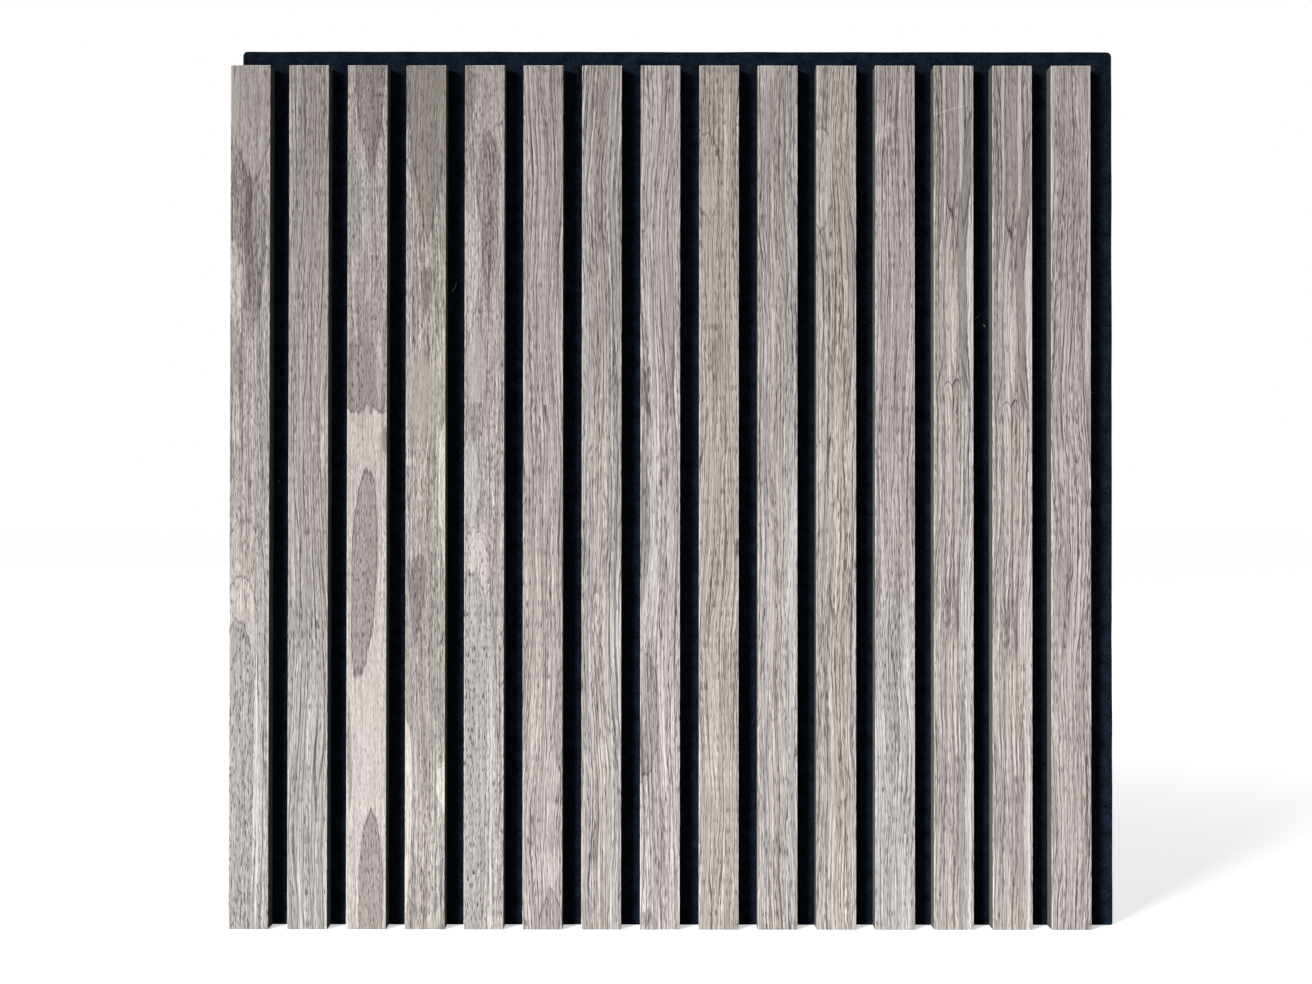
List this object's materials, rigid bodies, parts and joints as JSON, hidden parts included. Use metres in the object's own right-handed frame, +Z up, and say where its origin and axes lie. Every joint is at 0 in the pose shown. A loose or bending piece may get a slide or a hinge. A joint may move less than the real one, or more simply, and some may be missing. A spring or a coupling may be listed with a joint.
{
  "type": "acoustic slat wall panel",
  "caption": "Flat acoustic wall panel: upright grey wood-veneered slats, evenly spaced and glued to a black felt sheet, with felt margins that let the next panel join.",
  "frame": {"origin": "centre of the felt's back face, which goes against the wall", "axes": "+Y into the wall, +Z up along the slats, +X to the right seen from the room"},
  "size_m": [0.605, 0.021, 0.602],
  "materials": {
    "felt": "black pressed polyester felt",
    "core": "charcoal-dyed fibreboard, sawn",
    "veneer": "grey-stained walnut veneer, matt"
  },
  "bodies": {
    "root": {"felt_backing": "felt", "slat_core_01": "core", "slat_veneer_01": "veneer", "slat_core_02": "core", "slat_veneer_02": "veneer", "slat_core_03": "core", "slat_veneer_03": "veneer", "slat_core_04": "core", "slat_veneer_04": "veneer", "slat_core_05": "core", "slat_veneer_05": "veneer", "slat_core_06": "core", "slat_veneer_06": "veneer", "slat_core_07": "core", "slat_veneer_07": "veneer", "slat_core_08": "core", "slat_veneer_08": "veneer", "slat_core_09": "core", "slat_veneer_09": "veneer", "slat_core_10": "core", "slat_veneer_10": "veneer", "slat_core_11": "core", "slat_veneer_11": "veneer", "slat_core_12": "core", "slat_veneer_12": "veneer", "slat_core_13": "core", "slat_veneer_13": "veneer", "slat_core_14": "core", "slat_veneer_14": "veneer", "slat_core_15": "core", "slat_veneer_15": "veneer"}
  },
  "joints": []
}
